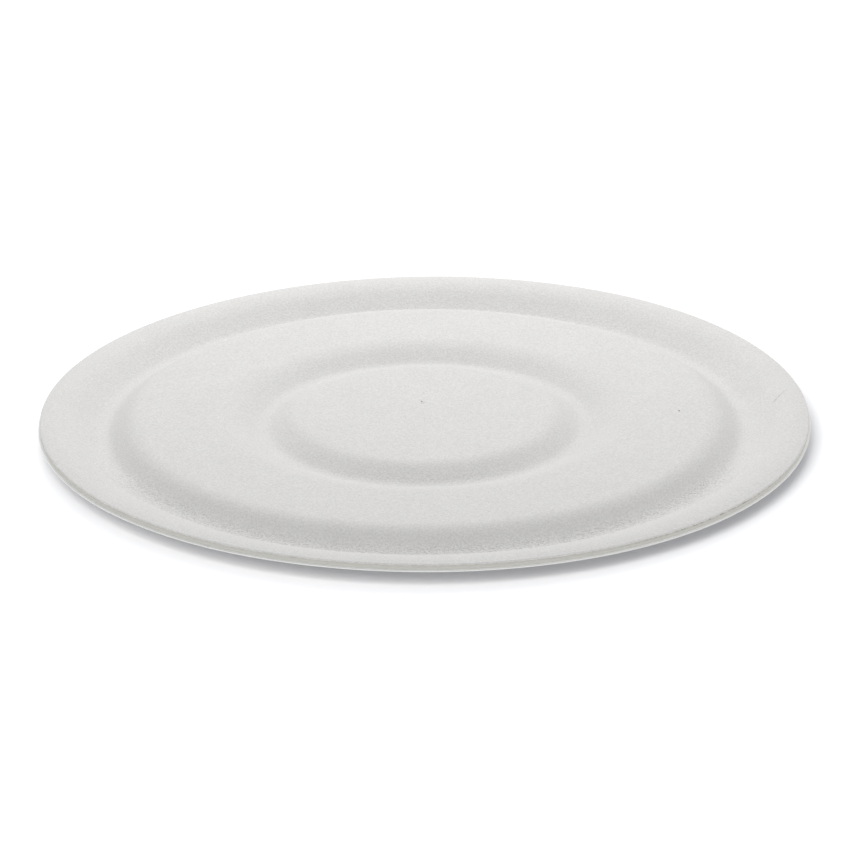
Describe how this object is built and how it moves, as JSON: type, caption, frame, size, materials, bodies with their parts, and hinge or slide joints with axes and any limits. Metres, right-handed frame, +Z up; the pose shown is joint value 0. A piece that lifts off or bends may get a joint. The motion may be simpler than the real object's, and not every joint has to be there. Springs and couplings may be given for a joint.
{
  "type": "cake board",
  "caption": "Round moulded-pulp cake board with a flat centre, stiffening ring grooves and a die-cut rim.",
  "frame": {"origin": "on the board's axis, in the plane of the flat under the outer groove, on which the board stands", "axes": "+Z up along the axis of symmetry, the face that carries the cake upward; +X and +Y lie in the plane it stands on"},
  "size_m": [0.3, 0.3, 0.01],
  "materials": {
    "pulp": "matte"
  },
  "bodies": {
    "root": {"board": "pulp"}
  },
  "joints": []
}
